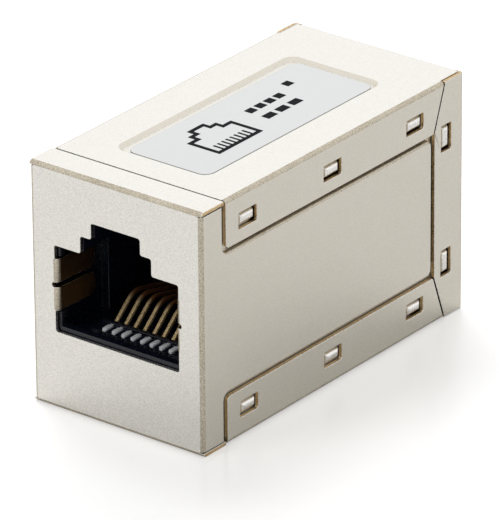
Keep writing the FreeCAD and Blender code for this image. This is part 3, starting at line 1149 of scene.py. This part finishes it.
@dataclass
class StuckLabel:
    """The label, with a plain socket outline and rows of marks in place of its print.

    The print reads along Y and has its upper side towards -X.

    Attributes:
        palette: The finishes.
        node: The label's node.
        corner: Radius of its corners.
        turn: Points on each corner.
        lip: How the film's edges are rounded; the rounding takes the painted edge shade.
        ink: Thickness of the print.
        stroke: Width of the outline's line.
        sign: Centre of the outline, from the label's centre.
        outline: The outline, anticlockwise, from its own centre, in millimetres.
        rows: The rows of marks.
    """

    palette: Palette
    node: str = "label"
    corner: float = 0.95 * MM
    turn: int = 8
    lip: Softening = Softening(0.02 * MM, angle=40.0, material=LabelPart.EDGE.value)
    ink: float = 0.012 * MM
    stroke: float = 0.42 * MM
    sign: tuple[float, float] = (-4.5 * MM, 0.1 * MM)
    outline: tuple[tuple[float, float], ...] = (
        (-3.0, -2.5), (3.0, -2.5), (3.0, 1.0), (1.9, 1.0), (1.9, 1.75), (1.1, 1.75),
        (1.1, 2.5), (-1.1, 2.5), (-1.1, 1.75), (-1.9, 1.75), (-1.9, 1.0), (-3.0, 1.0),
    )
    rows: tuple[PrintedRow, ...] = (
        PrintedRow((-6.46 * MM, -1.48 * MM), (0.24 * MM, 1.10 * MM), 0.56 * MM, 8),
        PrintedRow((1.20 * MM, 1.00 * MM), (0.95 * MM, 0.85 * MM), 1.30 * MM, 4),
        PrintedRow((1.38 * MM, -0.85 * MM), (1.30 * MM, 0.85 * MM), 1.77 * MM, 3),
        PrintedRow((7.60 * MM, 2.00 * MM), (0.90 * MM, 0.85 * MM), 1.00 * MM, 1),
    )

    def rounded(self, low: Vector, high: Vector) -> list[tuple[float, float]]:
        """Points round the label's edge, anticlockwise from its lower right corner.

        Args:
            low: The label's lowest corner.
            high: Its highest corner.

        Returns:
            The points.
        """
        radius = self.corner
        centres = [
            (high.x - radius, low.y + radius),
            (high.x - radius, high.y - radius),
            (low.x + radius, high.y - radius),
            (low.x + radius, low.y + radius),
        ]
        points = []
        for quarter, (x, y) in enumerate(centres):
            for step in range(self.turn + 1):
                angle = math.pi / 2 * (quarter - 1 + step / self.turn)
                points.append((x + radius * math.cos(angle), y + radius * math.sin(angle)))
        return points

    def spot(self, along: float, up: float) -> tuple[float, float]:
        """Where a point of the print lies in the frame."""
        low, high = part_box(self.node)
        return (low.x + high.x) / 2 - up, (low.y + high.y) / 2 + along

    def film(self, low: Vector, high: Vector) -> bpy.types.Mesh:
        """Makes the bare film.

        Args:
            low: The label's lowest corner.
            high: Its highest corner.

        Returns:
            The mesh.
        """
        copy = bmesh.new()
        points = self.rounded(low, high)
        lower, upper = ([copy.verts.new((x, y, z)) for x, y in points] for z in (low.z, high.z))
        copy.faces.new(upper)
        copy.faces.new(lower[::-1])
        for i in range(len(points)):
            # The film's edge is painted dark as the shade line round the label.
            side = copy.faces.new((lower[i - 1], lower[i], upper[i], upper[i - 1]))
            side.material_index = LabelPart.EDGE.value
        sheet = meshed("label_film", copy, self.palette.label)
        return softened("label_film_sheet", sheet, self.lip)

    def band(self, copy: bmesh.types.BMesh, base: float) -> None:
        """Prints the outline of a socket.

        Args:
            copy: The label to print on.
            base: Height of the film's upper side.
        """
        centre = self.sign
        outer = [Vector((x * MM + centre[0], y * MM + centre[1])) for x, y in self.outline]
        inner = []
        for before, point, after in zip(outer[-1:] + outer[:-1], outer, outer[1:] + outer[:1]):
            sides = (point - before).normalized(), (after - point).normalized()
            first, second = (Vector((-side.y, side.x)) for side in sides)
            inner.append(point + (first + second) * self.stroke / (1 + first.dot(second)))
        top = base + self.ink
        loops = [
            [copy.verts.new((*self.spot(*point), z)) for point in line]
            for line, z in ((outer, base), (outer, top), (inner, top), (inner, base))
        ]
        for loop, after in zip(loops, loops[1:] + loops[:1]):
            for i in range(len(outer)):
                side = copy.faces.new((loop[i - 1], loop[i], after[i], after[i - 1]))
                side.material_index = LabelPart.INK.value

    @staticmethod
    def row_tree() -> bpy.types.NodeTree:
        """Makes the group that repeats one mark in a row.

        Returns:
            The group.
        """
        group = GeometryTree("printed_row")
        count = group.input("Count", "Int")
        step = group.input("Step", "Vector")
        size = group.input("Mark Size", "Vector")
        material = group.input("Material", "Material")
        line = group.add("GeometryNodeMeshLine", {"Count": count, "Offset": step})
        mark = group.add("GeometryNodeMeshCube", {"Size": size})
        links = {"Points": line.outputs["Mesh"], "Instance": mark.outputs["Mesh"]}
        row = group.add("GeometryNodeInstanceOnPoints", links)
        return group.finish(row.outputs["Instances"], material)

    def row(
        self, copy: bmesh.types.BMesh, tree: bpy.types.NodeTree, row: PrintedRow, base: float
    ) -> None:
        """Prints a row of marks.

        Args:
            copy: The label to print on.
            tree: The group that makes a row.
            row: The row.
            base: Height of the film's upper side.
        """
        mesh = baked_from_tree("printed_marks", tree, {
            "Count": row.count,
            "Step": (0.0, row.step, 0.0),
            "Mark Size": (row.mark[1], row.mark[0], self.ink),
            "Material": self.palette.label[LabelPart.INK.value],
        })
        mesh.transform(Matrix.Translation((*self.spot(*row.start), base + self.ink / 2)))
        printed = len(copy.faces)
        copy.from_mesh(mesh)
        copy.faces.ensure_lookup_table()
        for face in copy.faces[printed:]:
            face.material_index = LabelPart.INK.value

    def build(self) -> bpy.types.Object:
        """Makes the label's piece.

        Returns:
            The piece.
        """
        low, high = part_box(self.node)
        mesh = self.film(low, high)
        copy = bmesh.new()
        copy.from_mesh(mesh)
        self.band(copy, high.z)
        tree = self.row_tree()
        for row in self.rows:
            self.row(copy, tree, row, high.z)
        copy.to_mesh(mesh)
        copy.free()
        return show_mesh("printed_label", mesh, [self.node])


# ------------------------------------------------------------------------------------------- studio


@dataclass(frozen=True)
class SoftBox:
    """A square lamp that faces the coupler.

    Attributes:
        name: The lamp's name.
        place: Where it hangs, from the frame's origin.
        side: The length of its side.
        power: Its power, in watts.
    """

    name: str
    place: tuple[float, float, float]
    side: float
    power: float


@dataclass
class Studio:
    """Floor, light and camera. None of it belongs to the coupler.

    Attributes:
        target: The point that the camera looks at.
        azimuth: Where the camera stands, in degrees from -Y towards +X.
        elevation: How far above the horizon it stands, in degrees.
        roll: Its turn about its own axis, in degrees.
        distance: From the camera to the target.
        lens: Focal length, in millimetres.
        sensor: Length of the sensor, in millimetres.
        clip: Nearest and farthest distance that the camera sees.
        floor_half: Half the side of the floor.
        floor_drop: How far the floor lies under the coupler.
        paper: Lightness of the floor.
        paper_rough: Roughness of the floor.
        glow: Light that the floor gives to camera rays alone.
        ambient: Strength of the world's light on matt surfaces.
        white: Strength at which camera and gloss rays see the world.
        lamps: The lamps.
    """

    target: Vector = field(default_factory=lambda: Vector((0.0004, -0.0007, 0.0092)))
    azimuth: float = 37.91
    elevation: float = 25.12
    roll: float = -0.466
    distance: float = 0.566
    lens: float = 459.35
    sensor: float = 36.0
    clip: tuple[float, float] = (0.01, 20.0)
    floor_half: float = 3.0
    floor_drop: float = 0.01 * MM
    paper: float = 0.75
    paper_rough: float = 0.22
    glow: float = 0.40
    ambient: float = 0.45
    white: float = 1.0
    lamps: tuple[SoftBox, ...] = (
        SoftBox("key", (-0.35, 0.30, 0.62), 0.45, 4.0),
        SoftBox("fill", (-0.30, -0.60, 0.35), 0.30, 1.3),
    )

    def camera(self) -> bpy.types.Object:
        """Places the camera.

        Returns:
            The camera.
        """
        data = bpy.data.cameras.new("camera")
        data.sensor_width = self.sensor
        data.lens = self.lens
        data.clip_start, data.clip_end = self.clip
        camera = placed("camera", data)
        across, up = math.radians(self.azimuth), math.radians(self.elevation)
        level = math.cos(up)
        outward = Vector((math.sin(across) * level, -math.cos(across) * level, math.sin(up)))
        aim = outward.to_track_quat("Z", "Y").to_matrix().to_4x4()
        tilt = Matrix.Rotation(math.radians(self.roll), 4, "Z")
        camera.matrix_world = Matrix.Translation(self.target + outward * self.distance) @ aim @ tilt
        bpy.context.scene.camera = camera
        return camera

    def floor(self) -> bpy.types.Object:
        """Lays a pale floor, which looks white and keeps the shadow.

        Returns:
            The floor.
        """
        mesh = bpy.data.meshes.new("floor")
        half, z = self.floor_half, -self.floor_drop
        square = [(-half, -half, z), (half, -half, z), (half, half, z), (-half, half, z)]
        mesh.from_pydata(square, [], [(0, 1, 2, 3)])
        mesh.materials.append(self.floor_material())
        floor = placed("floor", mesh)
        return floor

    def floor_material(self) -> bpy.types.Material:
        """Makes smooth pale paper, with a glow that camera rays alone see.

        Returns:
            The material.
        """
        tree = ShaderTree("floor_paper")
        grey = (self.paper, self.paper, self.paper, 1)
        look = {"Base Color": grey, "Roughness": self.paper_rough}
        paper = tree.add("ShaderNodeBsdfPrincipled", look)
        glow = tree.add("ShaderNodeEmission", {"Color": (1, 1, 1, 1)})
        tree.link(self.seen(tree, self.glow), glow.inputs["Strength"])
        both = tree.add("ShaderNodeAddShader")
        tree.link(paper.outputs["BSDF"], both.inputs[0])
        tree.link(glow.outputs["Emission"], both.inputs[1])
        tree.link(both.outputs["Shader"], tree.output.inputs["Surface"])
        return tree.material

    @staticmethod
    def seen(tree: ShaderTree, strength: float) -> Socket:
        """A strength that only camera rays meet.

        Args:
            tree: The tree to add the nodes to.
            strength: The strength that those rays meet.

        Returns:
            The strength's socket.
        """
        path = tree.add("ShaderNodeLightPath")
        scaled = tree.add("ShaderNodeMath", operation="MULTIPLY")
        scaled.inputs[1].default_value = strength
        tree.link(path.outputs["Is Camera Ray"], scaled.inputs[0])
        return scaled.outputs["Value"]

    @staticmethod
    def lamp(box: SoftBox) -> bpy.types.Object:
        """Hangs a lamp. Gloss rays don't meet it, so it doesn't light the metal.

        Args:
            box: The lamp.

        Returns:
            The lamp's object.
        """
        data = bpy.data.lights.new(box.name, "AREA")
        data.shape = "SQUARE"
        data.size = box.side
        data.energy = box.power
        lamp = placed(box.name, data)
        lamp.visible_glossy = False
        turn = Vector(box.place).to_track_quat("Z", "Y").to_matrix().to_4x4()
        lamp.matrix_world = Matrix.Translation(box.place) @ turn
        return lamp

    def world(self) -> bpy.types.World:
        """Surrounds the scene with even light, which camera and gloss rays see as white.

        Returns:
            The world.
        """
        world = bpy.data.worlds.new("studio")
        world.use_nodes = True
        tree = world.node_tree
        tree.nodes["Background"].inputs["Color"].default_value = (1, 1, 1, 1)
        path = tree.nodes.new("ShaderNodeLightPath")
        seen = tree.nodes.new("ShaderNodeMath")
        seen.operation = "MAXIMUM"
        tree.links.new(path.outputs["Is Camera Ray"], seen.inputs[0])
        tree.links.new(path.outputs["Is Glossy Ray"], seen.inputs[1])
        level = tree.nodes.new("ShaderNodeMapRange")
        level.inputs["To Min"].default_value = self.ambient
        level.inputs["To Max"].default_value = self.white
        tree.links.new(seen.outputs["Value"], level.inputs["Value"])
        tree.links.new(level.outputs["Result"], tree.nodes["Background"].inputs["Strength"])
        bpy.context.scene.world = world
        return world

    def build(self) -> None:
        """Sets the whole studio."""
        bpy.context.scene.view_settings.view_transform = "Standard"
        self.camera()
        self.floor()
        self.world()
        for box in self.lamps:
            self.lamp(box)
        log.info("studio: camera, floor, world and lamps")


# --------------------------------------------------------------------------------------------- main


def main() -> None:
    """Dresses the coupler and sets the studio."""
    logging.basicConfig(level=logging.INFO, format="%(name)s: %(message)s")
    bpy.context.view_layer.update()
    palette = Palette()
    for node in SHELLS:
        FoldedShell(node, palette).build()
    for end in End:
        MouldedPiece(f"{end.word}_housing", palette).build()
        MouldedPiece(f"{end.word}_contact_carrier", palette).build()
        SpringRow(end).build()
    CircuitBoard(palette).build()
    StuckLabel(palette).build()
    Studio().build()


if __name__ == "__main__":
    main()
